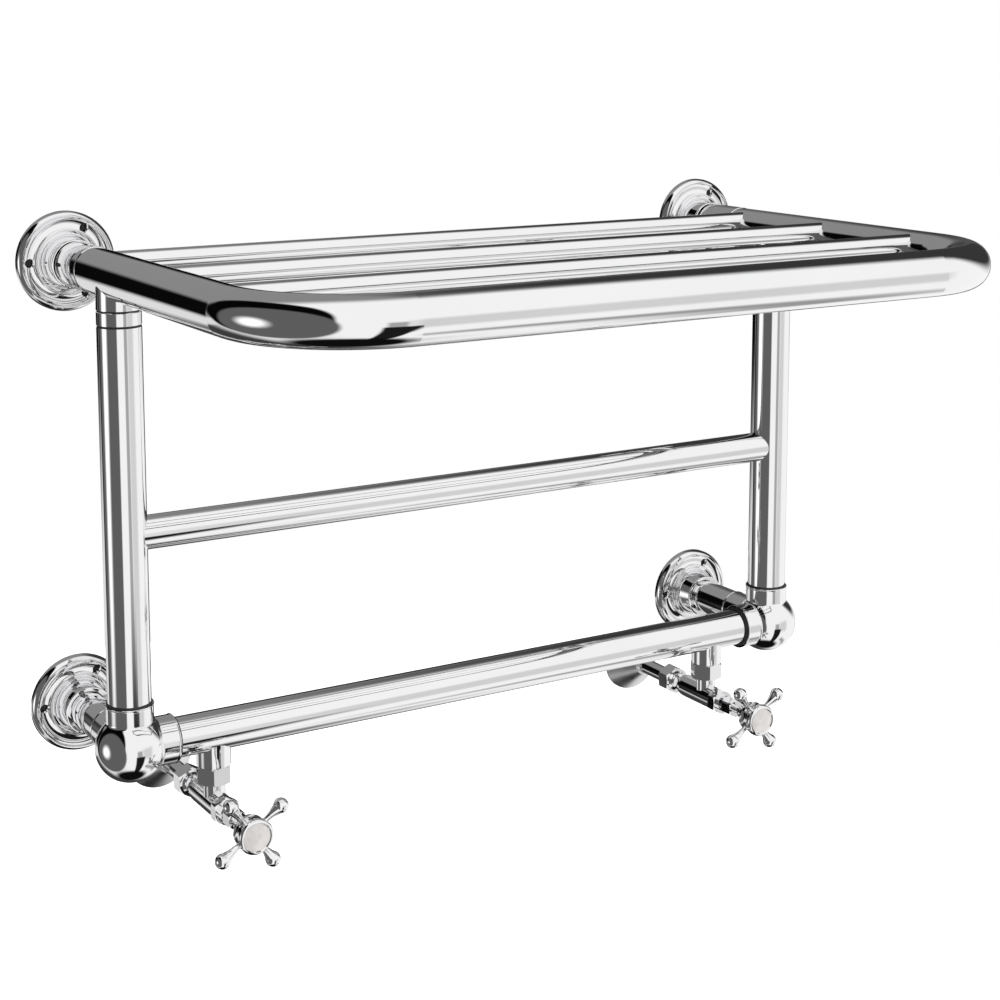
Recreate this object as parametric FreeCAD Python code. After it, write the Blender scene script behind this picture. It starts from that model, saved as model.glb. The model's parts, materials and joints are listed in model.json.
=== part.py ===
import FreeCAD, Part
import math
import os

# Wall-mounted hot-water towel rack with a tubular shelf, in millimetres.
# The wall is the plane Y = 0, the rack stands out along -Y and +Z is up.
# The origin is the centre of the upper left wall flange, on the wall.

# Layout
SPAN = 660.0            # between the centres of the two uprights
DROP = 387.0            # upper wall flange down to lower wall flange
REACH = 443.0           # wall to the centre line of the shelf's front tube
STAND_OFF = 128.0       # wall to the axes of the uprights and the lower rail
MID_DROP = 209.5        # shelf centre line down to the middle rail

# Tubes
WALL = 1.5
SHELF_R = 19.05
BEND_R = 92.0           # bend radius of the shelf tube's centre line
UPRIGHT_R = 18.0
RAIL_R = 17.0
MID_R = 14.0
BAR_R = 8.0
BAR_WALL = 1.0
BAR_RISE = 8.5          # shelf bars stand this far above the shelf centre line
BAR_PITCH = 117.0
BAR_NAMES = ("front", "middle", "rear")

# Wall flange and the turned connector that it carries
FLANGE_R = 42.5
FLANGE_RIM = 2.4        # height of the straight part of the rim
FLANGE_CREST_R = 39.6   # where the rounded rim is highest
FLANGE_LIP = 8.6
DISH_DEPTH = 6.0
STEP_R = 28.4           # raised ring inside the screw circle
STEP_LIP = 10.4         # height of the raised ring's crest
NECK_ROOT_R = 23.4      # foot of the tapered neck
NECK_WAIST_R = 19.2
NECK_WAIST_AT = 26.0
NECK_RIM_R = 20.7
NECK_LENGTH = 30.0
NECK_BORE = 15.0
SCREW_CIRCLE_R = 32.0
SCREW_HOLE_R = 2.75
SCREW_SINK_R = 4.2
SCREW_SINK_DEPTH = 2.2
SCREW_ANGLES = (60.0, 180.0, 300.0)
SOCKET_FLOOR = 4.0      # wall to the bottom of the neck's bore
SLEEVE_START = 33.0     # wall to the rear end of the connector's sleeve
SLEEVE_END = 79.0
UPPER_SLEEVE_R = 19.5
LOWER_SLEEVE_R = 16.4
WAIST_R = 14.6
UPPER_SPIGOT_LENGTH = 18.0
LOWER_SPIGOT_R = 13.0
LOWER_SPIGOT_LENGTH = 17.0
GRUB_R = 2.5
GRUB_KEY_R = 1.4
GRUB_KEY_DEPTH = 2.0
GRUB_HEAD_AT = 18.4     # connector's axis to the grub screw's head
GRUB_AT = 20.0          # wall to the grub screw in the neck

# Joint between the shelf and each upright
STUB_END = -25.3
SEAM_GAP = 1.4          # filled by a flat rubber ring above and below the coupling
SEAM_RING_R = 17.5
COUPLING_TOP = STUB_END - SEAM_GAP
COUPLING_END = -37.8
UPRIGHT_TOP = COUPLING_END - SEAM_GAP
COUPLING_BORE = 13.5
SPIGOT_UP = 5.5
SPIGOT_DOWN = 11.0
O_RING_R = 0.9
O_RING_AT = -45.0

# Ball elbow
BALL_R = 29.0
BALL_PORT_R = 12.5
SOCKET_DEPTH = 18.0     # ball centre to the bottom of each socket
UP_COLLAR_R = 19.6
UP_COLLAR_END = 37.0
RAIL_COLLAR_R = 20.3
RAIL_COLLAR_END = 36.5
REAR_COLLAR_R = 17.0
LIP = 0.5               # each collar's mouth flares by this much
MOUTH_SEAL_R = 18.8     # rubber ring in the mouths round the upright and rail
MOUTH_SEAL_IN = 2.0
MOUTH_SEAL_OUT = 1.6
ROOT_FILLET = 3.0       # where each collar meets the ball

# Valves
VALVE_INSET = 72.5      # upright axis to valve axis, along the lower rail
VALVE_DROP = 449.5      # shelf centre line down to the valve's own axis
BOSS_R = 14.4
BOSS_BORE = 9.4
BOSS_END = -416.0
TAIL_TOP = -408.0
WATERWAY_R = 7.0
UNION_FLATS = 27.0
UNION_TURN = 22.5       # the union nuts stop a little past square, degrees
UNION_BORE = 12.3
UNION_TOP = -416.3
UNION_LIP = -420.0
UNION_END = -431.5
TAIL_FLANGE_END = -423.5
OUTLET_TOP = -425.0
OUTLET_NECK_R = 9.2
BODY_R = 10.6
BODY_FRONT = 145.0      # distances from the wall along the valve's axis
BODY_REAR = 95.0
THROAT_R = 7.9
THROAT_END = 82.0
PIPE_THREAD_R = 9.8
PIPE_THREAD_END = 70.0
PIPE_SOCKET = 80.0
SEAT_REAR = 104.0
SEAT_FACE = 107.0
SEAT_R = 5.0
CHAMBER_R = 7.8
PIPE_R = 7.5
PIPE_BORE = 6.8
PIPE_TAIL = 20.0        # the pipes run this far into the wall
PIPE_MARK_R = 7.2       # shallow marking groove where a pipe meets the wall
PIPE_MARK_END = 2.0
PIPE_NUT_FLATS = 24.0
PIPE_NUT_REAR = 63.0
PIPE_NUT_HEX = 66.2
PIPE_NUT_FRONT = 80.5
OLIVE_REAR = 67.0
CONE_R = 31.0
CONE_NOSE_R = 9.6
CONE_DEPTH = 24.0
CONE_WALL = 1.4

# Valve headwork
STEM_R = 3.5
STEM_GAP = 0.05         # running clearance round the spindle
STEM_THREAD_R = 3.0
STEM_TIP = 115.0
STEM_SHOULDER = 127.0
STEM_COLLAR_R = 5.0
COLLAR_REAR = 136.3
COLLAR_FRONT = 139.7
COLLAR_FLOOR = 140.0
BONNET_REAR = 136.0
BONNET_FLATS = 21.5
BONNET_NECK_R = 8.0
BONNET_HEX_END = 155.0
BONNET_END = 170.0
BOX_R = 5.5             # packing box inside the bonnet's nose
BOX_REAR = 164.0
GLAND_FLATS = 15.4
GLAND_REAR = 162.5
GLAND_END = 176.0
GLAND_BORE = 7.0
PLUG_R = 6.8
PLUG_GAP = 0.3          # washer to seat when the valve is shut
WASHER_THICK = 2.0
PLUG_HOLE_FLOOR = 111.5
PLUG_END = 120.0

# Cross handle
HUB_REAR = 184.0
HUB_FRONT = 216.0
HUB_R = 15.0
HUB_TAIL_R = 6.2        # slim rear end of the hub
FLARE_R = 11.6          # where the hub's flare ends
FLARE_END = 195.5
RIM_START = 210.6       # the raised rim round the disc
BEZEL_REAR = 212.2      # where the rim starts to curve in towards the disc
BEZEL_R = 12.3
ARM_PLANE = 204.6
ARM_ANGLE = 35.0        # first arm above the X axis, seen from the front
ARM_REACH = 31.6        # handle axis to the centre of each ball end
ARM_BALL_R = 6.4
ARM_NECK_R = 2.5
ARM_ROOT = 9.0          # the arm starts inside the hub
ARM_WAIST = 16.0
SQUARE = 5.6
SQUARE_REAR = 187.0
SQUARE_END = 205.0
DISC_R = 11.5
DISC_SEAT = 213.8
DISC_EDGE = 215.2
DISC_CROWN = 216.4
SCREW_R = 2.0
SCREW_HEAD_R = 3.8
SCREW_FLOOR = 210.5
SCREW_TIP = 197.0
SCREW_CROWN = 213.1
SLOT_DEPTH = 1.2
SLOT_WIDTH = 1.0

# Air vent on the outer side of the right-hand arm
VENT_AT = 172.0         # distance from the wall
VENT_BOSS_R = 6.5
VENT_BOSS_END = 27.0    # distance from the arm's axis
VENT_BORE = 3.0
VENT_KEY = 5.0
VENT_HEAD_R = 4.6
VENT_HEAD_START = 27.3
VENT_HEAD_END = 29.3
VENT_END = 35.0

X_AXIS = FreeCAD.Vector(1, 0, 0)
Y_AXIS = FreeCAD.Vector(0, 1, 0)
Z_AXIS = FreeCAD.Vector(0, 0, 1)
OUT = FreeCAD.Vector(0, -1, 0)

parts = {}


def at(x, out, z):
    """A point given by X, its distance from the wall, and Z."""
    return FreeCAD.Vector(x, -out, z)


def rod(radius, start, end):
    """A solid cylinder between two points."""
    return Part.makeCylinder(radius, (end - start).Length, start, end - start)


def pipe(radius, bore, start, end):
    """A round tube between two points."""
    return rod(radius, start, end).cut(rod(bore, start, end))


def outline(start, *steps):
    """A closed face in the XZ plane from (radius, height) points. A step of two
    numbers is a straight line, and a step of four is an arc through the first
    point to the second."""
    here = FreeCAD.Vector(start[0], 0, start[1])
    first = here
    edges = []
    for step in steps:
        there = FreeCAD.Vector(step[-2], 0, step[-1])
        if len(step) == 4:
            middle = FreeCAD.Vector(step[0], 0, step[1])
            edges.append(Part.Arc(here, middle, there).toShape())
        else:
            edges.append(Part.LineSegment(here, there).toShape())
        here = there
    edges.append(Part.LineSegment(here, first).toShape())
    return Part.Face(Part.Wire(edges))


def crown(radius, base, top):
    """The step that closes an outline with a ball-shaped crown."""
    rise = top - base
    ball_r = (radius ** 2 + rise ** 2) / (2 * rise)
    half = math.asin(radius / ball_r) / 2
    return (ball_r * math.sin(half), top - ball_r * (1 - math.cos(half)), 0, top)


def turned(origin, axis, start, *steps):
    """A solid of revolution: the outline's heights run along axis from origin."""
    solid = outline(start, *steps).revolve(FreeCAD.Vector(), Z_AXIS, 360)
    solid.Placement = FreeCAD.Placement(origin, FreeCAD.Rotation(Z_AXIS, axis))
    return solid


def hexagon(flats, start, end, turn=0.0):
    """A hexagon bar between two points, with its corners chamfered at both ends,
    turned on its axis by some degrees."""
    corner = flats / math.sqrt(3)
    length = (end - start).Length
    chamfer = corner - flats / 2
    slope = chamfer * 0.6
    points = []
    for index in range(7):
        angle = math.radians(60 * index + 30 + turn)
        points.append(FreeCAD.Vector(corner * math.cos(angle), corner * math.sin(angle), 0))
    bar = Part.Face(Part.makePolygon(points)).extrude(Z_AXIS * length)
    inner = flats / 2 - 0.1
    limit = outline((0, 0), (inner, 0), (corner, slope), (corner, length - slope),
                    (inner, length), (0, length))
    bar = bar.common(limit.revolve(FreeCAD.Vector(), Z_AXIS, 360))
    bar.Placement = FreeCAD.Placement(start, FreeCAD.Rotation(Z_AXIS, end - start))
    return bar


def mirrored(shape):
    """The same shape on the other side of the rack."""
    return shape.mirror(FreeCAD.Vector(SPAN / 2, 0, 0), X_AXIS)


# Wall flanges ---------------------------------------------------------------

def wall_flange(x, z):
    """A dished round flange with three countersunk holes and a neck."""
    body = turned(
        at(x, 0, z), OUT,
        (0, 0), (FLANGE_R, 0), (FLANGE_R, FLANGE_RIM),
        (FLANGE_R - 0.8, FLANGE_LIP - 2.2, FLANGE_CREST_R, FLANGE_LIP),
        (FLANGE_CREST_R - 1.3, FLANGE_LIP - 0.8, FLANGE_CREST_R - 2.4, DISH_DEPTH + 0.4),
        (STEP_R + 3.2, DISH_DEPTH - 0.6, STEP_R, DISH_DEPTH + 0.6),
        (STEP_R - 0.2, STEP_LIP - 1.0),
        (STEP_R - 1.2, STEP_LIP, STEP_R - 2.3, STEP_LIP - 0.8),
        (NECK_ROOT_R + 1.2, STEP_LIP - 1.2),
        (NECK_ROOT_R + 0.3, STEP_LIP - 0.8, NECK_ROOT_R, STEP_LIP + 0.2), (NECK_WAIST_R, NECK_WAIST_AT),
        (NECK_WAIST_R + 0.3, NECK_WAIST_AT + 1.0, NECK_RIM_R - 0.3, NECK_LENGTH - 2.2),
        (NECK_RIM_R, NECK_LENGTH - 1.2, NECK_RIM_R - 0.3, NECK_LENGTH - 0.3),
        (NECK_RIM_R - 1.0, NECK_LENGTH), (0, NECK_LENGTH),
    )
    body = body.cut(rod(NECK_BORE, at(x, SOCKET_FLOOR, z), at(x, NECK_LENGTH + 1, z)))
    for angle in SCREW_ANGLES:
        dx = SCREW_CIRCLE_R * math.cos(math.radians(angle))
        dz = SCREW_CIRCLE_R * math.sin(math.radians(angle))
        hole = rod(SCREW_HOLE_R, at(x + dx, -1, z + dz), at(x + dx, FLANGE_LIP, z + dz))
        sink_slope = (SCREW_SINK_R - SCREW_HOLE_R) / SCREW_SINK_DEPTH
        sink_height = 2 * SCREW_SINK_DEPTH
        sink = Part.makeCone(SCREW_HOLE_R, SCREW_HOLE_R + sink_slope * sink_height, sink_height,
                             at(x + dx, DISH_DEPTH - SCREW_SINK_DEPTH, z + dz), OUT)
        body = body.cut(hole).cut(sink)
    return body.cut(rod(GRUB_R, at(x, GRUB_AT, z - NECK_ROOT_R), at(x, GRUB_AT, z - WAIST_R)))


def grub_screw(x, z):
    """A socket grub screw in the underside of a flange's neck."""
    head = at(x, GRUB_AT, z - GRUB_HEAD_AT)
    screw = rod(GRUB_R, head, at(x, GRUB_AT, z - NECK_BORE))
    return screw.cut(rod(GRUB_KEY_R, head, head + Z_AXIS * GRUB_KEY_DEPTH))


def connector(x, z, sleeve_r, spigot_r, spigot_length):
    """A turned connector: rear spigot in the neck, sleeve, and front spigot."""
    end = SLEEVE_END + spigot_length
    return turned(
        at(x, 0, z), OUT,
        (0, SOCKET_FLOOR), (NECK_BORE, SOCKET_FLOOR), (NECK_BORE, NECK_LENGTH),
        (WAIST_R, NECK_LENGTH), (WAIST_R, SLEEVE_START),
        (sleeve_r - 0.6, SLEEVE_START), (sleeve_r, SLEEVE_START + 0.6),
        (sleeve_r, SLEEVE_END - 0.6), (sleeve_r - 0.6, SLEEVE_END),
        (spigot_r, SLEEVE_END), (spigot_r, end - 1), (spigot_r - 1, end), (0, end),
    )


flange_places = {
    "upper_left": (0.0, 0.0),
    "upper_right": (SPAN, 0.0),
    "lower_left": (0.0, -DROP),
    "lower_right": (SPAN, -DROP),
}
for place, (flange_x, flange_z) in flange_places.items():
    parts[place + "_wall_flange"] = wall_flange(flange_x, flange_z)
    if flange_z == 0:
        part = connector(flange_x, flange_z, UPPER_SLEEVE_R, SHELF_R - WALL, UPPER_SPIGOT_LENGTH)
    else:
        part = connector(flange_x, flange_z, LOWER_SLEEVE_R, LOWER_SPIGOT_R, LOWER_SPIGOT_LENGTH)
    parts[place + "_connector"] = part
parts["flange_grub_screws"] = Part.makeCompound(
    [grub_screw(place_x, place_z) for place_x, place_z in flange_places.values()]
)


# Shelf ----------------------------------------------------------------------

def shelf_sweep(radius):
    """The shelf's U-shaped line swept by a disc: arm, bend, front, bend, arm."""
    diagonal = BEND_R * (1 - math.sqrt(0.5))
    rear_left = at(0, SLEEVE_END, 0)
    bend_left = at(0, REACH - BEND_R, 0)
    front_left = at(BEND_R, REACH, 0)
    front_right = at(SPAN - BEND_R, REACH, 0)
    bend_right = at(SPAN, REACH - BEND_R, 0)
    rear_right = at(SPAN, SLEEVE_END, 0)
    corner_left = at(diagonal, REACH - diagonal, 0)
    corner_right = at(SPAN - diagonal, REACH - diagonal, 0)
    path = Part.Wire([
        Part.LineSegment(rear_left, bend_left).toShape(),
        Part.Arc(bend_left, corner_left, front_left).toShape(),
        Part.LineSegment(front_left, front_right).toShape(),
        Part.Arc(front_right, corner_right, bend_right).toShape(),
        Part.LineSegment(bend_right, rear_right).toShape(),
    ])
    section = Part.Wire([Part.makeCircle(radius, rear_left, OUT)])
    return path.makePipeShell([section], True, False)


def arm_fill(x):
    """The space that one shelf arm takes up, used to cope what meets it."""
    return rod(SHELF_R, at(x, SLEEVE_END, 0), at(x, REACH - BEND_R, 0))


both_arms = arm_fill(0).fuse(arm_fill(SPAN))
shelf = shelf_sweep(SHELF_R).cut(shelf_sweep(SHELF_R - WALL))
for x in (0, SPAN):
    shelf = shelf.cut(rod(COUPLING_BORE, at(x, STAND_OFF, -SHELF_R - 1), at(x, STAND_OFF, 0)))
vent_port = rod(VENT_BORE, at(SPAN, VENT_AT, 0), at(SPAN + SHELF_R + 1, VENT_AT, 0))
parts["shelf_tube"] = shelf.cut(vent_port)

for index, name in enumerate(BAR_NAMES):
    out = REACH - BAR_PITCH * (index + 1)
    bar = pipe(BAR_R, BAR_R - BAR_WALL, at(0, out, BAR_RISE), at(SPAN, out, BAR_RISE))
    parts["shelf_bar_" + name] = bar.cut(both_arms).Solids[0]


# Uprights and their couplings -------------------------------------------------

def top_stub(x):
    """The short tube brazed under the arm, coped to its round underside."""
    stub = pipe(UPRIGHT_R, UPRIGHT_R - WALL, at(x, STAND_OFF, STUB_END), at(x, STAND_OFF, 0))
    return stub.cut(arm_fill(x)).Solids[0]


def is_round(edge):
    """True for an edge that lies on a circle."""
    return not edge.Degenerated and isinstance(edge.Curve, Part.Circle)


def coupling(x):
    """A ring flush with the tubes, with a spigot up into the stub and one down
    into the upright, and a groove for its O-ring."""
    ring = rod(UPRIGHT_R, at(x, STAND_OFF, COUPLING_END), at(x, STAND_OFF, COUPLING_TOP))
    ring = ring.makeChamfer(0.5, [edge for edge in ring.Edges if is_round(edge)])
    bottom = at(x, STAND_OFF, COUPLING_END - SPIGOT_DOWN)
    top = at(x, STAND_OFF, COUPLING_TOP + SPIGOT_UP)
    spigot = rod(UPRIGHT_R - WALL, bottom, top)
    bore = rod(COUPLING_BORE, bottom, top)
    groove_r = UPRIGHT_R - WALL - 2 * O_RING_R
    groove = pipe(UPRIGHT_R, groove_r, at(x, STAND_OFF, O_RING_AT - O_RING_R),
                  at(x, STAND_OFF, O_RING_AT + O_RING_R))
    return ring.fuse(spigot).cut(bore).cut(groove)


def o_ring(x):
    """The ring that seals the coupling's lower spigot."""
    middle = UPRIGHT_R - WALL - O_RING_R
    return Part.makeTorus(middle, O_RING_R, at(x, STAND_OFF, O_RING_AT), Z_AXIS)


def seam_ring(x, top):
    """The flat rubber ring in the seam above or below the coupling."""
    return pipe(SEAM_RING_R, UPRIGHT_R - WALL, at(x, STAND_OFF, top - SEAM_GAP), at(x, STAND_OFF, top))


def upright(x, inward):
    """An upright tube, drilled on its inner side for the middle rail."""
    tube = pipe(UPRIGHT_R, UPRIGHT_R - WALL, at(x, STAND_OFF, -DROP + SOCKET_DEPTH),
                at(x, STAND_OFF, UPRIGHT_TOP))
    port = rod(MID_R - 2 * WALL, at(x, STAND_OFF, -MID_DROP),
               at(x + inward * (UPRIGHT_R + 1), STAND_OFF, -MID_DROP))
    return tube.cut(port)


for side, x, inward in (("left", 0.0, 1), ("right", SPAN, -1)):
    parts[side + "_top_stub"] = top_stub(x)
    parts[side + "_coupling"] = coupling(x)
    parts[side + "_upright"] = upright(x, inward)
parts["coupling_o_rings"] = Part.makeCompound([o_ring(0), o_ring(SPAN)])
parts["coupling_seam_rings"] = Part.makeCompound(
    [seam_ring(x, top) for x in (0, SPAN) for top in (STUB_END, COUPLING_END)]
)


# Rails ------------------------------------------------------------------------

middle_rail = pipe(MID_R, MID_R - WALL, at(0, STAND_OFF, -MID_DROP), at(SPAN, STAND_OFF, -MID_DROP))
for x in (0, SPAN):
    middle_rail = middle_rail.cut(rod(UPRIGHT_R, at(x, STAND_OFF, -DROP), at(x, STAND_OFF, 0)))
parts["middle_rail"] = middle_rail

rail_start = at(SOCKET_DEPTH, STAND_OFF, -DROP)
rail_end = at(SPAN - SOCKET_DEPTH, STAND_OFF, -DROP)
lower_rail = pipe(RAIL_R, RAIL_R - WALL, rail_start, rail_end)
rail_fill = rod(RAIL_R, rail_start, rail_end)
valve_places = {"left": VALVE_INSET, "right": SPAN - VALVE_INSET}
for side, x in valve_places.items():
    lower_rail = lower_rail.cut(rod(WATERWAY_R, at(x, STAND_OFF, -DROP), at(x, STAND_OFF, BOSS_END)))
    boss = pipe(BOSS_R, BOSS_BORE, at(x, STAND_OFF, -DROP), at(x, STAND_OFF, BOSS_END))
    parts[side + "_valve_boss"] = boss.cut(rail_fill).Solids[0]
parts["lower_rail"] = lower_rail


# Ball elbows --------------------------------------------------------------------

def collar(centre, direction, radius, end):
    """A socket's outside: a neck that flows out of the ball, with a flared mouth."""
    fillet_height = math.sqrt((BALL_R + ROOT_FILLET) ** 2 - (radius + ROOT_FILLET) ** 2)
    ball_share = BALL_R / (BALL_R + ROOT_FILLET)
    root_r = (radius + ROOT_FILLET) * ball_share
    root_height = fillet_height * ball_share
    half_turn = math.asin(fillet_height / (BALL_R + ROOT_FILLET)) / 2
    middle_r = radius + ROOT_FILLET * (1 - math.cos(half_turn))
    middle_height = fillet_height - ROOT_FILLET * math.sin(half_turn)
    return turned(
        centre, direction,
        (0, 0), (root_r, root_height), (middle_r, middle_height, radius, fillet_height),
        (radius, end - 2.6), (radius + LIP * 0.2, end - 1.4, radius + LIP, end - 0.7),
        (radius + LIP, end - 0.2), (radius + LIP - 0.2, end), (0, end),
    )


def ball_elbow():
    """The left-hand elbow: a ball with sockets for the upright above, the
    lower rail beside it and the wall connector behind it."""
    centre = at(0, STAND_OFF, -DROP)
    rear_end = STAND_OFF - SLEEVE_END
    elbow = Part.makeSphere(BALL_R, centre).fuse([
        collar(centre, Z_AXIS, UP_COLLAR_R, UP_COLLAR_END),
        collar(centre, X_AXIS, RAIL_COLLAR_R, RAIL_COLLAR_END),
        collar(centre, Y_AXIS, REAR_COLLAR_R, rear_end),
    ])
    far = 2 * BALL_R
    for direction, radius in ((Z_AXIS, UPRIGHT_R), (X_AXIS, RAIL_R), (Y_AXIS, LOWER_SPIGOT_R)):
        start = rear_end - LOWER_SPIGOT_LENGTH if direction == Y_AXIS else SOCKET_DEPTH
        elbow = elbow.cut(rod(radius, centre + direction * start, centre + direction * far))
    for direction, end in ((Z_AXIS, UP_COLLAR_END), (X_AXIS, RAIL_COLLAR_END)):
        elbow = elbow.cut(rod(BALL_PORT_R, centre, centre + direction * far))
        mouth = centre + direction * (end - MOUTH_SEAL_IN)
        elbow = elbow.cut(rod(MOUTH_SEAL_R, mouth, centre + direction * far))
    return elbow.cut(Part.makeSphere(BALL_PORT_R, centre))


def mouth_seal(direction, end, bore):
    """The rubber ring that closes a left-hand socket's mouth round its tube."""
    centre = at(0, STAND_OFF, -DROP)
    return pipe(MOUTH_SEAL_R, bore, centre + direction * (end - MOUTH_SEAL_IN),
                centre + direction * (end + MOUTH_SEAL_OUT))


parts["left_ball_elbow"] = ball_elbow()
parts["right_ball_elbow"] = mirrored(parts["left_ball_elbow"])
upright_seal = mouth_seal(Z_AXIS, UP_COLLAR_END, UPRIGHT_R)
rail_seal = mouth_seal(X_AXIS, RAIL_COLLAR_END, RAIL_R)
parts["elbow_mouth_seals"] = Part.makeCompound(
    [upright_seal, rail_seal, mirrored(upright_seal), mirrored(rail_seal)]
)


# Valves -------------------------------------------------------------------------

def axis_point(x, out):
    """A point on a valve's own axis."""
    return at(x, out, -VALVE_DROP)


def valve_tail(x):
    """The flanged tail that screws into the boss and carries the union nut."""
    flange_r = UNION_BORE - 0.1
    return turned(
        at(x, STAND_OFF, 0), Z_AXIS,
        (WATERWAY_R, TAIL_TOP), (BOSS_BORE, TAIL_TOP), (BOSS_BORE, UNION_LIP),
        (flange_r, UNION_LIP), (flange_r, TAIL_FLANGE_END), (WATERWAY_R, TAIL_FLANGE_END),
    )


def union_nut(x):
    """The hexagon nut that draws the tail down onto the valve."""
    nut = hexagon(UNION_FLATS, at(x, STAND_OFF, UNION_TOP), at(x, STAND_OFF, UNION_END), UNION_TURN)
    nut = nut.cut(rod(BOSS_BORE, at(x, STAND_OFF, UNION_TOP), at(x, STAND_OFF, UNION_END)))
    return nut.cut(rod(UNION_BORE, at(x, STAND_OFF, UNION_LIP), at(x, STAND_OFF, UNION_END)))


def union_washer(x):
    """The fibre washer between the tail and the valve's outlet."""
    return pipe(UNION_BORE - 1, WATERWAY_R, at(x, STAND_OFF, OUTLET_TOP),
                at(x, STAND_OFF, TAIL_FLANGE_END))


def valve_body(x):
    """The casting: pipe inlet at the rear, outlet upwards, headwork in front."""
    body = turned(
        axis_point(x, 0), OUT,
        (0, PIPE_THREAD_END), (PIPE_THREAD_R, PIPE_THREAD_END), (PIPE_THREAD_R, PIPE_NUT_FRONT),
        (THROAT_R, THROAT_END), (THROAT_R, THROAT_END + 4),
        (THROAT_R + 0.5, THROAT_END + 8, BODY_R - 0.5, BODY_REAR),
        (BODY_R, BODY_REAR + 3), (BODY_R, BODY_FRONT - 0.6),
        (BODY_R - 0.6, BODY_FRONT), (0, BODY_FRONT),
    )
    outlet = turned(
        axis_point(x, STAND_OFF), Z_AXIS,
        (0, 0), (OUTLET_NECK_R, 0), (OUTLET_NECK_R, VALVE_DROP + UNION_END - 1),
        (UNION_BORE, VALVE_DROP + UNION_END), (UNION_BORE, VALVE_DROP + OUTLET_TOP),
        (0, VALVE_DROP + OUTLET_TOP),
    )
    body = body.fuse(outlet).removeSplitter()
    body = body.cut(rod(WATERWAY_R, axis_point(x, STAND_OFF), at(x, STAND_OFF, OUTLET_TOP + 1)))
    body = body.cut(rod(PIPE_R, axis_point(x, PIPE_THREAD_END - 1), axis_point(x, PIPE_SOCKET)))
    body = body.cut(rod(SEAT_R + 1, axis_point(x, PIPE_SOCKET - 1), axis_point(x, SEAT_REAR)))
    body = body.cut(rod(SEAT_R, axis_point(x, SEAT_REAR - 1), axis_point(x, SEAT_FACE + 1)))
    return body.cut(rod(CHAMBER_R, axis_point(x, SEAT_FACE), axis_point(x, BODY_FRONT + 1)))


def pipe_nut(x):
    """The compression nut behind the valve, with its rounded rear shoulder."""
    nut = hexagon(PIPE_NUT_FLATS, axis_point(x, PIPE_NUT_HEX), axis_point(x, PIPE_NUT_FRONT))
    shoulder = turned(
        axis_point(x, 0), OUT,
        (0, PIPE_NUT_REAR), (PIPE_R + 1.8, PIPE_NUT_REAR),
        (PIPE_R + 2.8, PIPE_NUT_REAR + 0.6, PIPE_R + 3.2, PIPE_NUT_HEX), (0, PIPE_NUT_HEX),
    )
    nut = nut.fuse(shoulder)
    nut = nut.cut(rod(PIPE_R, axis_point(x, 0), axis_point(x, BODY_REAR)))
    return nut.cut(rod(PIPE_THREAD_R, axis_point(x, OLIVE_REAR), axis_point(x, BODY_REAR)))


def olive(x):
    """The brass ring that the compression nut squeezes onto the pipe."""
    middle = (OLIVE_REAR + PIPE_THREAD_END) / 2
    return turned(
        axis_point(x, 0), OUT,
        (PIPE_R, OLIVE_REAR), (PIPE_R + 1.0, OLIVE_REAR), (PIPE_R + 1.6, middle),
        (PIPE_R + 1.0, PIPE_THREAD_END), (PIPE_R, PIPE_THREAD_END),
    )


def pipe_cone(x):
    """The thin cone that covers the pipe's hole in the wall."""
    return turned(
        axis_point(x, 0), OUT,
        (CONE_R, 0), (CONE_R, CONE_WALL), (CONE_NOSE_R, CONE_DEPTH), (PIPE_R, CONE_DEPTH),
        (PIPE_R, CONE_DEPTH - CONE_WALL), (CONE_NOSE_R - CONE_WALL, CONE_DEPTH - CONE_WALL),
        (CONE_R - 2 * CONE_WALL, 0),
    )


def bonnet(x):
    """The headwork that screws into the body and guides the spindle."""
    head = turned(
        axis_point(x, 0), OUT,
        (0, BONNET_REAR), (CHAMBER_R, BONNET_REAR), (CHAMBER_R, BODY_FRONT),
        (BONNET_NECK_R, BODY_FRONT), (BONNET_NECK_R, GLAND_REAR),
        (GLAND_BORE, GLAND_REAR), (GLAND_BORE, BONNET_END), (0, BONNET_END),
    )
    head = head.fuse(hexagon(BONNET_FLATS, axis_point(x, BODY_FRONT), axis_point(x, BONNET_HEX_END)))
    head = head.cut(rod(STEM_R + STEM_GAP, axis_point(x, BONNET_REAR - 1), axis_point(x, GLAND_END)))
    head = head.cut(rod(STEM_COLLAR_R + STEM_GAP, axis_point(x, BONNET_REAR - 1),
                        axis_point(x, COLLAR_FLOOR)))
    return head.cut(rod(BOX_R, axis_point(x, BOX_REAR), axis_point(x, BONNET_END + 1)))


def gland_packing(x):
    """The soft ring in the packing box round the spindle."""
    return pipe(BOX_R, STEM_R + STEM_GAP, axis_point(x, BOX_REAR), axis_point(x, BONNET_END))


def gland_nut(x):
    """The small hexagon nut that squeezes the packing."""
    nut = hexagon(GLAND_FLATS, axis_point(x, GLAND_REAR), axis_point(x, GLAND_END))
    nut = nut.cut(rod(GLAND_BORE, axis_point(x, GLAND_REAR - 1), axis_point(x, BONNET_END)))
    return nut.cut(rod(STEM_R + STEM_GAP, axis_point(x, GLAND_REAR), axis_point(x, GLAND_END + 1)))


def drive_square(x):
    """The square with rounded corners that turns the spindle with the handle."""
    half = SQUARE / 2
    square = Part.makeBox(SQUARE, SQUARE_END - SQUARE_REAR + 1, SQUARE,
                          at(x - half, SQUARE_END, -VALVE_DROP - half))
    return square.common(rod(STEM_R, axis_point(x, SQUARE_REAR - 1), axis_point(x, SQUARE_END)))


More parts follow.
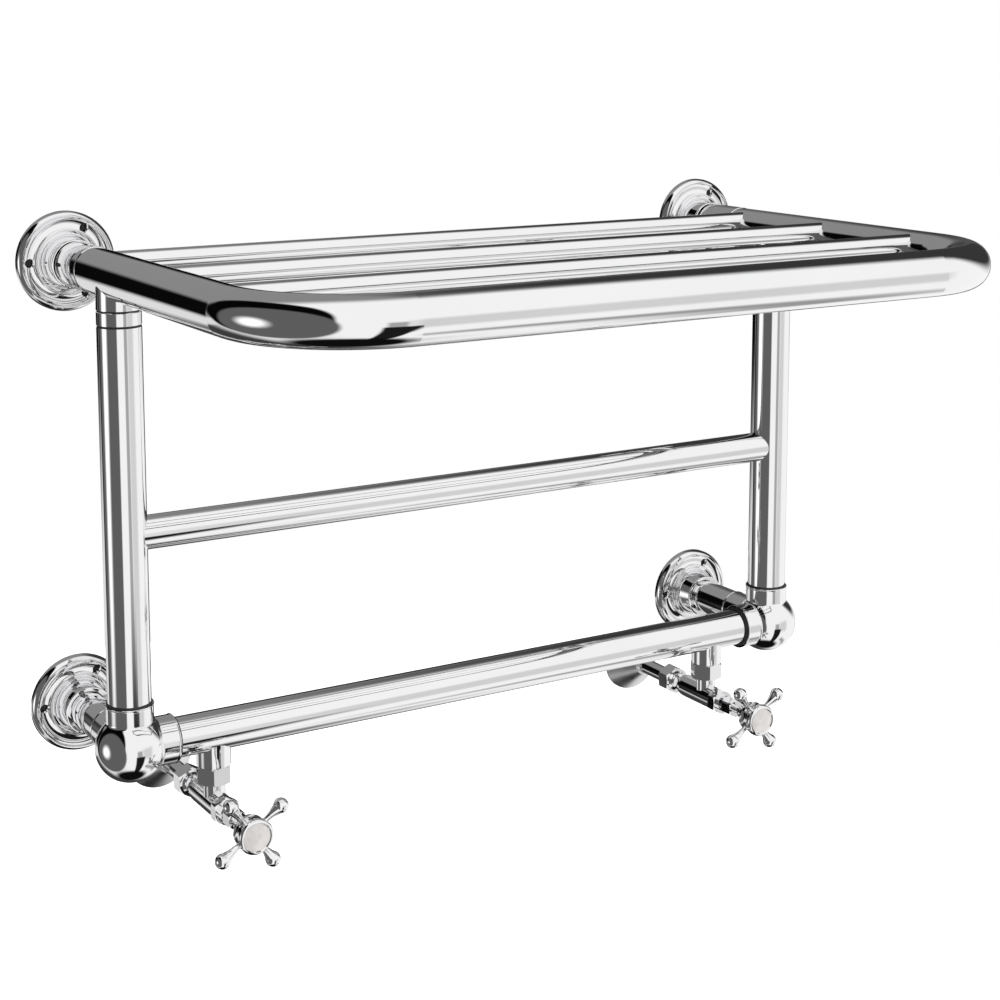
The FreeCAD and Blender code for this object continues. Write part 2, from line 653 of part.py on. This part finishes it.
def spindle(x):
    """The non-rising spindle: thread for the plug, collar, stem and square."""
    stem = turned(
        axis_point(x, 0), OUT,
        (0, STEM_TIP), (STEM_THREAD_R - 0.5, STEM_TIP), (STEM_THREAD_R, STEM_TIP + 0.5),
        (STEM_THREAD_R, STEM_SHOULDER), (STEM_R, STEM_SHOULDER), (STEM_R, COLLAR_REAR),
        (STEM_COLLAR_R, COLLAR_REAR), (STEM_COLLAR_R, COLLAR_FRONT),
        (STEM_R, COLLAR_FRONT), (STEM_R, SQUARE_REAR), (0, SQUARE_REAR),
    )
    stem = stem.fuse(drive_square(x))
    return stem.cut(rod(SCREW_R, axis_point(x, SCREW_TIP), axis_point(x, SQUARE_END + 1)))


def valve_plug(x):
    """The plug that the spindle's thread draws off the seat."""
    rear = SEAT_FACE + PLUG_GAP + WASHER_THICK
    plug = turned(
        axis_point(x, 0), OUT,
        (0, rear), (PLUG_R, rear), (PLUG_R, PLUG_END - 1), (PLUG_R - 1, PLUG_END), (0, PLUG_END),
    )
    return plug.cut(rod(STEM_THREAD_R + STEM_GAP, axis_point(x, PLUG_HOLE_FLOOR),
                        axis_point(x, PLUG_END + 1)))


def plug_washer(x):
    """The rubber washer that seals on the seat."""
    rear = SEAT_FACE + PLUG_GAP
    return rod(PLUG_R, axis_point(x, rear), axis_point(x, rear + WASHER_THICK))


def handle_arm(x, angle):
    """One arm: a slim neck that swells into a ball end."""
    direction = FreeCAD.Vector(math.cos(angle), 0, math.sin(angle))
    ball_start = ARM_REACH - ARM_BALL_R * 0.6
    return turned(
        axis_point(x, ARM_PLANE), direction,
        (0, ARM_ROOT), (ARM_NECK_R + 0.6, ARM_ROOT),
        (ARM_NECK_R, ARM_WAIST - 2.5, ARM_NECK_R, ARM_WAIST),
        (ARM_NECK_R + 0.9, ARM_WAIST + 6, ARM_BALL_R * 0.8, ball_start),
        (ARM_BALL_R, ARM_REACH, 0, ARM_REACH + ARM_BALL_R),
    )


def handle(x):
    """The cross handle: a flared hub with four ball-ended arms."""
    cross = turned(
        axis_point(x, 0), OUT,
        (0, HUB_REAR), (HUB_TAIL_R - 0.8, HUB_REAR), (HUB_TAIL_R, HUB_REAR + 1.5),
        (HUB_TAIL_R + 0.8, FLARE_END - 5.0, FLARE_R, FLARE_END),
        (FLARE_R + 1.8, FLARE_END + 1.7), (FLARE_R + 2.4, FLARE_END + 4.0),
        (HUB_R - 1.5, ARM_PLANE, HUB_R - 0.9, ARM_PLANE + 3.9), (HUB_R - 0.4, RIM_START - 1.0),
        (HUB_R, RIM_START), (HUB_R, BEZEL_REAR),
        (HUB_R - 0.6, HUB_FRONT - 1.2, BEZEL_R, HUB_FRONT), (DISC_R, DISC_EDGE), (0, DISC_EDGE),
    )
    for quarter in range(4):
        cross = cross.fuse(handle_arm(x, math.radians(ARM_ANGLE + 90 * quarter)))
    cross = cross.cut(rod(DISC_R, axis_point(x, DISC_SEAT), axis_point(x, HUB_FRONT + 1)))
    cross = cross.cut(rod(SCREW_HEAD_R + 0.4, axis_point(x, SCREW_FLOOR), axis_point(x, DISC_SEAT + 1)))
    cross = cross.cut(rod(SCREW_R, axis_point(x, HUB_REAR), axis_point(x, DISC_SEAT)))
    cross = cross.cut(drive_square(x))
    return cross.cut(rod(STEM_R, axis_point(x, HUB_REAR - 1), axis_point(x, SQUARE_REAR)))


def handle_screw(x):
    """The slotted screw that holds the handle on the spindle."""
    screw = turned(
        axis_point(x, 0), OUT,
        (0, SCREW_TIP), (SCREW_R, SCREW_TIP), (SCREW_R, SCREW_FLOOR),
        (SCREW_HEAD_R, SCREW_FLOOR), (SCREW_HEAD_R, SCREW_FLOOR + 1.4),
        crown(SCREW_HEAD_R, SCREW_FLOOR + 1.4, SCREW_CROWN),
    )
    slot = Part.makeBox(2 * SCREW_HEAD_R, SLOT_DEPTH, SLOT_WIDTH,
                        at(x - SCREW_HEAD_R, SCREW_CROWN, -VALVE_DROP - SLOT_WIDTH / 2))
    return screw.cut(slot)


def handle_disc(x):
    """The crowned ceramic disc that covers the screw."""
    return turned(
        axis_point(x, 0), OUT,
        (0, DISC_SEAT), (DISC_R, DISC_SEAT), (DISC_R, DISC_EDGE),
        crown(DISC_R, DISC_EDGE, DISC_CROWN),
    )


def supply_pipe(x):
    """The water pipe from inside the wall to the valve's socket, with a shallow
    marking groove at the wall."""
    tube = pipe(PIPE_R, PIPE_BORE, axis_point(x, -PIPE_TAIL), axis_point(x, PIPE_SOCKET))
    mark = pipe(PIPE_R + 1, PIPE_MARK_R, axis_point(x, 0), axis_point(x, PIPE_MARK_END))
    return tube.cut(mark)


valve_pieces = {
    "union_nut": union_nut,
    "valve_body": valve_body,
    "pipe_nut": pipe_nut,
    "supply_pipe": supply_pipe,
    "pipe_cone": pipe_cone,
    "bonnet": bonnet,
    "gland_nut": gland_nut,
    "spindle": spindle,
    "valve_plug": valve_plug,
    "plug_washer": plug_washer,
    "handle": handle,
    "handle_screw": handle_screw,
    "handle_disc": handle_disc,
}
for side, x in valve_places.items():
    for name, make in valve_pieces.items():
        parts[side + "_" + name] = make(x)
parts["valve_tails"] = Part.makeCompound([valve_tail(x) for x in valve_places.values()])
parts["gland_packings"] = Part.makeCompound([gland_packing(x) for x in valve_places.values()])
parts["union_washers"] = Part.makeCompound([union_washer(x) for x in valve_places.values()])
parts["pipe_olives"] = Part.makeCompound([olive(x) for x in valve_places.values()])


# Air vent -------------------------------------------------------------------------

vent_centre = at(SPAN, VENT_AT, 0)
vent_boss = rod(VENT_BOSS_R, vent_centre, vent_centre + X_AXIS * VENT_BOSS_END)
vent_boss = vent_boss.cut(arm_fill(SPAN))
parts["air_vent_boss"] = vent_boss.cut(
    rod(VENT_BORE, vent_centre, vent_centre + X_AXIS * (VENT_BOSS_END + 1)))

thread_r = VENT_BORE - STEM_GAP
vent_screw = turned(
    vent_centre, X_AXIS,
    (0, SHELF_R + 1), (thread_r, SHELF_R + 1), (thread_r, VENT_HEAD_START),
    (VENT_HEAD_R, VENT_HEAD_START), (VENT_HEAD_R, VENT_HEAD_END), (0, VENT_HEAD_END),
)
key_half = VENT_KEY / 2
key_start = FreeCAD.Vector(VENT_HEAD_END, -key_half, -key_half)
key = Part.makeBox(VENT_END - VENT_HEAD_END, VENT_KEY, VENT_KEY, vent_centre + key_start)
parts["air_vent_screw"] = vent_screw.fuse(key).removeSplitter()


os.makedirs("parts", exist_ok=True)
for name, shape in parts.items():
    shape.exportStep("parts/" + name + ".step")
    valid = "ok" if shape.isValid() else "INVALID"
    print(name, valid, len(shape.Solids), "solid(s),", round(shape.Volume / 1000, 2), "cm3")
print(len(parts), "nodes")
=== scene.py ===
import bpy
import json
import math
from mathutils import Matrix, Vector


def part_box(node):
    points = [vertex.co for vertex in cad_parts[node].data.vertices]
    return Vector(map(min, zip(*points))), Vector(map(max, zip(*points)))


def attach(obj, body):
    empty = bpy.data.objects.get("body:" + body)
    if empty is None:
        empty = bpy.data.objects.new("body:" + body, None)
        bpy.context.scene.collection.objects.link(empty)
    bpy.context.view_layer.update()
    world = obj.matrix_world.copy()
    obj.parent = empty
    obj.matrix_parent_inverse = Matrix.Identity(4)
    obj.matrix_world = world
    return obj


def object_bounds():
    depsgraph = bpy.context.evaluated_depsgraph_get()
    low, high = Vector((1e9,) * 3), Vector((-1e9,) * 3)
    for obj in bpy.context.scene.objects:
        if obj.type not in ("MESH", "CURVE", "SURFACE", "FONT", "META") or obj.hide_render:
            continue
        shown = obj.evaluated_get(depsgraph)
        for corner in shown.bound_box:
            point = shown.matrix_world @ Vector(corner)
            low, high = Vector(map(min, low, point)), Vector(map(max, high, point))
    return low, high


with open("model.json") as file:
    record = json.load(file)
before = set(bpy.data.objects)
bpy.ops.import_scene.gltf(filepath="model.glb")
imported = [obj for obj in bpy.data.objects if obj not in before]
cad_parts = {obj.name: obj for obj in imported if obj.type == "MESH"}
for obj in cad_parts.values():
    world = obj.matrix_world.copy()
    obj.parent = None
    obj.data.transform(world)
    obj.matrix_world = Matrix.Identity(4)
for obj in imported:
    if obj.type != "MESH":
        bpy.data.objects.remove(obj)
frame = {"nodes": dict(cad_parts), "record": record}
cad_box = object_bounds()
scene = bpy.context.scene

# The rack's shape is the CAD's own; this script gives it its finishes, fills the bottoms of the screw
# holes with near-black plugs as painted shade, and sets the studio, the floor and the camera. Lengths
# are metres.

# Materials ------------------------------------------------------------------


class Nodes:
    """A small helper that adds nodes to a tree and links them."""

    def __init__(self, tree):
        self.tree = tree

    def add(self, kind, inputs=None, **settings):
        """Adds a node. An input is either a constant or another node's output."""
        node = self.tree.nodes.new(kind)
        for key, value in settings.items():
            setattr(node, key, value)
        for key, value in (inputs or {}).items():
            if isinstance(value, bpy.types.NodeSocket):
                self.tree.links.new(value, node.inputs[key])
            else:
                node.inputs[key].default_value = value
        return node

    def math(self, operation, first, second=0.0, third=0.0):
        inputs = {0: first, 1: second, 2: third}
        return self.add("ShaderNodeMath", inputs, operation=operation).outputs[0]

    def noise(self, scale, detail, roughness, vector):
        inputs = {"Scale": scale, "Detail": detail, "Roughness": roughness, "Vector": vector}
        return self.add("ShaderNodeTexNoise", inputs).outputs["Fac"]

    def span(self, value, low, high, to_low, to_high):
        """Maps low to high onto to_low to to_high, and holds it there."""
        node = self.add("ShaderNodeMapRange", {
            "Value": value, "From Min": low, "From Max": high, "To Min": to_low, "To Max": to_high})
        return node.outputs["Result"]


def new_material(name):
    """A material, its node helper, its shader, and a place in the object's own metres."""
    material = bpy.data.materials.new(name)
    material.use_nodes = True
    nodes = Nodes(material.node_tree)
    shader = material.node_tree.nodes["Principled BSDF"]
    place = nodes.add("ShaderNodeTexCoord").outputs["Object"]
    return material, nodes, shader, place


def mixed(nodes, factor, dark, light):
    """A colour between dark and light."""
    node = nodes.add("ShaderNodeMix", {"Factor": factor, "A": (*dark, 1), "B": (*light, 1)},
                     data_type="RGBA")
    return node.outputs["Result"]


def metal(name, dark, light, rough, spread, bump, grain=900.0):
    """Polished or machined metal: cloudy tint, uneven polish, faint wiping marks and a
    fine surface grain."""
    material, nodes, shader, place = new_material(name)
    link = material.node_tree.links.new
    clouds = nodes.noise(14.0, 4.0, 0.55, place)
    link(mixed(nodes, clouds, dark, light), shader.inputs["Base Color"])
    polish = nodes.noise(55.0, 5.0, 0.6, place)
    wiped = nodes.add("ShaderNodeTexWave", {
        "Vector": place, "Scale": 22.0, "Distortion": 14.0, "Detail": 4.0}, bands_direction="DIAGONAL")
    worn = nodes.math("MULTIPLY_ADD", wiped.outputs["Fac"], 0.12, polish)
    link(nodes.span(worn, 0.3, 0.8, rough - spread, rough + spread), shader.inputs["Roughness"])
    fine = nodes.noise(grain, 2.0, 0.5, place)
    relief = nodes.add("ShaderNodeBump", {"Strength": bump, "Distance": 0.0002, "Height": fine})
    link(relief.outputs["Normal"], shader.inputs["Normal"])
    shader.inputs["Metallic"].default_value = 1.0
    return material


def soft_solid(name, dark, light, rough, spread, bump, grain):
    """Rubber, fibre or packing: a grainy matt solid."""
    material = metal(name, dark, light, rough, spread, bump, grain)
    material.node_tree.nodes["Principled BSDF"].inputs["Metallic"].default_value = 0.0
    return material


def glazed(name, dark, light):
    """Glazed ceramic: a mottled body with faint crazing under a clear glaze."""
    material, nodes, shader, place = new_material(name)
    link = material.node_tree.links.new
    clouds = nodes.noise(160.0, 5.0, 0.6, place)
    body = mixed(nodes, nodes.span(clouds, 0.3, 0.7, 0.0, 1.0), dark, light)
    cells = nodes.add("ShaderNodeTexVoronoi", {"Vector": place, "Scale": 420.0},
                      feature="DISTANCE_TO_EDGE")
    crazing = nodes.span(cells.outputs["Distance"], 0.0, 0.03, 0.25, 0.0)
    seam = tuple(0.8 * value for value in dark)
    craze = nodes.add("ShaderNodeMix", {"Factor": crazing, "A": body, "B": (*seam, 1)}, data_type="RGBA")
    link(craze.outputs["Result"], shader.inputs["Base Color"])
    ripple = nodes.noise(90.0, 2.0, 0.5, place)
    link(nodes.span(ripple, 0.3, 0.7, 0.10, 0.2), shader.inputs["Roughness"])
    relief = nodes.add("ShaderNodeBump", {"Strength": 0.05, "Distance": 0.0003, "Height": ripple})
    link(relief.outputs["Normal"], shader.inputs["Normal"])
    shader.inputs["Coat Weight"].default_value = 1.0
    shader.inputs["Coat Roughness"].default_value = 0.03
    return material


materials = {
    "chrome_tube": metal("chrome_tube", (0.84, 0.84, 0.85), (0.89, 0.89, 0.895), 0.035, 0.014, 0.012),
    "chrome_fittings": metal("chrome_fittings", (0.83, 0.83, 0.84), (0.89, 0.89, 0.895),
                             0.045, 0.018, 0.02),
    "chrome_pipe": metal("chrome_pipe", (0.80, 0.80, 0.81), (0.86, 0.86, 0.865), 0.06, 0.02, 0.02),
    "brass_parts": metal("brass_parts", (0.70, 0.52, 0.24), (0.80, 0.63, 0.33), 0.22, 0.06, 0.08),
    "steel_screws": metal("steel_screws", (0.52, 0.52, 0.53), (0.62, 0.62, 0.63), 0.2, 0.05, 0.06),
    "rubber_seals": soft_solid("rubber_seals", (0.012, 0.012, 0.012), (0.03, 0.03, 0.03),
                               0.6, 0.1, 0.1, 1500.0),
    "fibre_washers": soft_solid("fibre_washers", (0.35, 0.10, 0.06), (0.5, 0.2, 0.13),
                                0.75, 0.1, 0.3, 600.0),
    "gland_packing": soft_solid("gland_packing", (0.75, 0.75, 0.72), (0.85, 0.85, 0.82),
                                0.6, 0.1, 0.2, 700.0),
    "ceramic_disc": glazed("ceramic_disc", (0.70, 0.67, 0.65), (0.84, 0.81, 0.78)),
}
satin = metal("satin_cover", (0.76, 0.76, 0.77), (0.82, 0.82, 0.83), 0.34, 0.04, 0.05)

for subpart in frame["record"]["subparts"]:
    node = frame["nodes"][subpart["node"]]
    node.data.materials.clear()
    node.data.materials.append(materials[subpart["material_slot"]])
for side in ("left", "right"):
    cone = frame["nodes"][side + "_pipe_cone"]
    cone.data.materials.clear()
    cone.data.materials.append(satin)

# Near-black plugs behind the flanges' screw holes, painted shade in the holes ---------

PLUG_SIDES = 32
NOTCH_EVERY = 8         # four notches, where the plug's jaws part
NOTCH_DEPTH = 0.78
JAW_R = (0.001, 0.002)  # the radii between which the notches are cut
# The plug's profile: radius and distance from the wall
PLUG_PROFILE = ((0.00268, 0.0004), (0.00268, 0.0010), (0.0025, 0.0014), (0.0017, 0.0014),
                (0.0013, 0.0010), (0.0009, 0.0006))


def painted_shade_in_hole(name, centre):
    """A near-black plug at the bottom of a screw hole, painted shade for the hole's depth: a collar
    round a funnel, with a closed bottom. centre is on the wall."""
    verts = []
    faces = []
    for radius, out in PLUG_PROFILE:
        for step in range(PLUG_SIDES):
            angle = 2 * math.pi * step / PLUG_SIDES
            in_notch = step % NOTCH_EVERY == 0 and JAW_R[0] < radius < JAW_R[1]
            reach = radius * NOTCH_DEPTH if in_notch else radius
            verts.append((centre.x + reach * math.cos(angle), -out,
                          centre.z + reach * math.sin(angle)))
    for ring in range(len(PLUG_PROFILE) - 1):
        for step in range(PLUG_SIDES):
            a = ring * PLUG_SIDES + step
            b = ring * PLUG_SIDES + (step + 1) % PLUG_SIDES
            faces.append((a, b, b + PLUG_SIDES, a + PLUG_SIDES))
    faces.append(tuple(reversed(range(PLUG_SIDES))))
    last = (len(PLUG_PROFILE) - 1) * PLUG_SIDES
    faces.append(tuple(range(last, last + PLUG_SIDES)))
    mesh = bpy.data.meshes.new(name)
    mesh.from_pydata(verts, [], faces)
    mesh.materials.append(painted_shade_black)
    mesh.shade_smooth()
    plug = bpy.data.objects.new(name, mesh)
    scene.collection.objects.link(plug)
    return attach(plug, "root")


FIRST_HOLE = 60         # degrees above the horizontal

# Near-black matt finish for the plugs: painted shade at the bottoms of the screw holes.
painted_shade_black = soft_solid("painted_shade_plug_black", (0.02, 0.02, 0.02), (0.04, 0.04, 0.04), 0.55, 0.08, 0.1, 1200.0)
for mount in frame["record"]["mounts"]:
    if mount["kind"] != "bolt_pattern":
        continue
    centre = Vector(mount["pos_m"])
    circle_r = mount["dims"]["pcd_mm"] / 2000
    for hole in range(mount["dims"]["count"]):
        angle = math.radians(FIRST_HOLE + 360 / mount["dims"]["count"] * hole)
        offset = Vector((circle_r * math.cos(angle), 0, circle_r * math.sin(angle)))
        painted_shade_in_hole(f"{mount['name']}_plug_{hole + 1}", centre + offset)

# Surroundings -----------------------------------------------------------------

world = bpy.data.worlds.new("studio")
scene.world = world
world.use_nodes = True
sky = Nodes(world.node_tree)
background = world.node_tree.nodes["Background"]
direction = sky.add("ShaderNodeTexCoord").outputs["Generated"]
parts = sky.add("ShaderNodeSeparateXYZ", {"Vector": direction})
azimuth = sky.math("MULTIPLY", sky.math("ARCTAN2", parts.outputs["X"],
                   sky.math("MULTIPLY", parts.outputs["Y"], -1.0)), 180 / math.pi)
height = sky.math("MULTIPLY", sky.math("ARCSINE", parts.outputs["Z"]), 180 / math.pi)


def edge(value, start, width):
    """Rises smoothly from 0 to 1 about start."""
    node = sky.add("ShaderNodeMapRange", {
        "Value": value, "From Min": start - width / 2, "From Max": start + width / 2},
        interpolation_type="SMOOTHSTEP")
    return node.outputs["Result"]


def panel(light, middle, half_width, low, high, brightness, soft=8.0, soft_height=10.0):
    """Lays a soft-edged panel over the light so far. middle and half_width are azimuths
    in degrees, 0 towards the front and 90 to the right; low and high are elevations."""
    turn = sky.math("ABSOLUTE", sky.math("WRAP", sky.math("SUBTRACT", azimuth, middle), 180.0, -180.0))
    across = sky.math("SUBTRACT", 1.0, edge(turn, half_width, soft))
    up = sky.math("MULTIPLY", edge(height, low, soft_height),
                  sky.math("SUBTRACT", 1.0, edge(height, high, soft_height)))
    cover = sky.math("MULTIPLY", across, up)
    return sky.math("MULTIPLY_ADD", cover, sky.math("SUBTRACT", brightness, light), light)


def disc(light, middle, elevation, radius, brightness, soft=8.0):
    """Lays a soft-edged round panel over the light so far."""
    a, e = math.radians(middle), math.radians(elevation)
    centre = (math.sin(a) * math.cos(e), -math.cos(a) * math.cos(e), math.sin(e))
    dot = sky.add("ShaderNodeVectorMath", {0: direction, 1: centre}, operation="DOT_PRODUCT")
    away = sky.math("MULTIPLY", sky.math("ARCCOSINE", dot.outputs["Value"]), 180 / math.pi)
    cover = sky.math("SUBTRACT", 1.0, edge(away, radius, soft))
    return sky.math("MULTIPLY_ADD", cover, sky.math("SUBTRACT", brightness, light), light)


# The studio: white all round, with grey and black flags and one small bright lamp.
light = sky.math("ADD", 1.02, 0.0)

# Behind the rack, towards the wall: grey above, dark below, black at eye level, and a
# low strip of light along the foot of the wall.
light = disc(light, -140, -40, 60, 0.8, 30)
light = disc(light, 175, 38, 44, 0.27, 24)
light = disc(light, 178, -42, 30, 0.05, 20)
light = disc(light, 150, -10, 24, 0.07, 12)
light = panel(light, 180, 30, -12, 12, 0.003, 12, 6)
light = panel(light, -166, 20, -23, -14, 0.8, 8, 4)

# To the left: a dark grey screen with a black border, and the lamp before it.
light = disc(light, -95, 8, 57, 0.002, 5)
light = disc(light, -86, -8, 52, 0.125, 6)
light = disc(light, -103, -8, 13, 1.4, 16)

# To the right: a black flag high up and a faint grey band low down.
light = disc(light, 114, 25, 31, 0.04, 16)
light = panel(light, 75, 30, -54, -46, 0.35, 20, 8)

# In front: two greys at eye level and a black pillar below them, down to a black floor.
light = panel(light, 35, 16, -26, 4, 0.72, 14, 12)
light = panel(light, 9, 8, -26, 0, 0.42, 6, 8)
light = panel(light, 12, 14, -80, -18, 0.012, 5, 5)
light = disc(light, 0, -90, 26, 0.005, 12)

# The rack mirrors the studio, and the camera sees plain white past it.
seen = sky.add("ShaderNodeLightPath").outputs["Is Camera Ray"]
strength = sky.math("MULTIPLY_ADD", seen, sky.math("SUBTRACT", 1.0, light), light)
world.node_tree.links.new(strength, background.inputs["Strength"])
background.inputs["Color"].default_value = (1, 1, 1, 1)

# Floor ------------------------------------------------------------------------

FLOOR_DROP = 1.1        # below the rack's lowest point
FLOOR_R = 4.0
SPAN_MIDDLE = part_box("lower_rail")[0].lerp(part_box("lower_rail")[1], 0.5).x
FLOOR_FRONT = -0.2
WHITE = (1, 1, 1, 1)
PALE = (0.9, 0.9, 0.9, 1)
bpy.ops.mesh.primitive_circle_add(vertices=128, radius=FLOOR_R, fill_type="NGON",
                                  location=(SPAN_MIDDLE, FLOOR_FRONT, cad_box[0].z - FLOOR_DROP))
floor = bpy.context.object
floor.name = "floor"
material, nodes, shader, place = new_material("pale_floor")
shader.inputs["Base Color"].default_value = PALE
shader.inputs["Roughness"].default_value = 0.6
# The floor glows though it is no lamp: a painted white glow, at half strength within 1 m of its middle,
# rising to full strength 3 m out, to keep it white.
shader.inputs["Emission Color"].default_value = WHITE
reach = nodes.add("ShaderNodeVectorMath", {0: place}, operation="LENGTH").outputs["Value"]
# A faint noise that mottles the painted glow.
grain = nodes.noise(3.0, 4.0, 0.5, place)
glow = nodes.math("MULTIPLY_ADD", grain, 0.06, nodes.span(reach, 1.0, 3.0, 0.5, 1.0))
material.node_tree.links.new(glow, shader.inputs["Emission Strength"])
floor.data.materials.append(material)
floor.visible_glossy = False

# Camera -----------------------------------------------------------------------

PITCH = 8.02            # degrees below the horizontal
YAW = 31.15             # degrees to the right of straight on to the wall

camera = bpy.data.objects.new("camera", bpy.data.cameras.new("camera"))
scene.collection.objects.link(camera)
camera.location = (-0.5375, -1.6013, 0.1986)
camera.rotation_euler = (math.radians(90 - PITCH), 0, math.radians(-YAW))
camera.data.lens = 70.66
camera.data.shift_y = -0.2
scene.camera = camera
scene.view_settings.view_transform = "Standard"
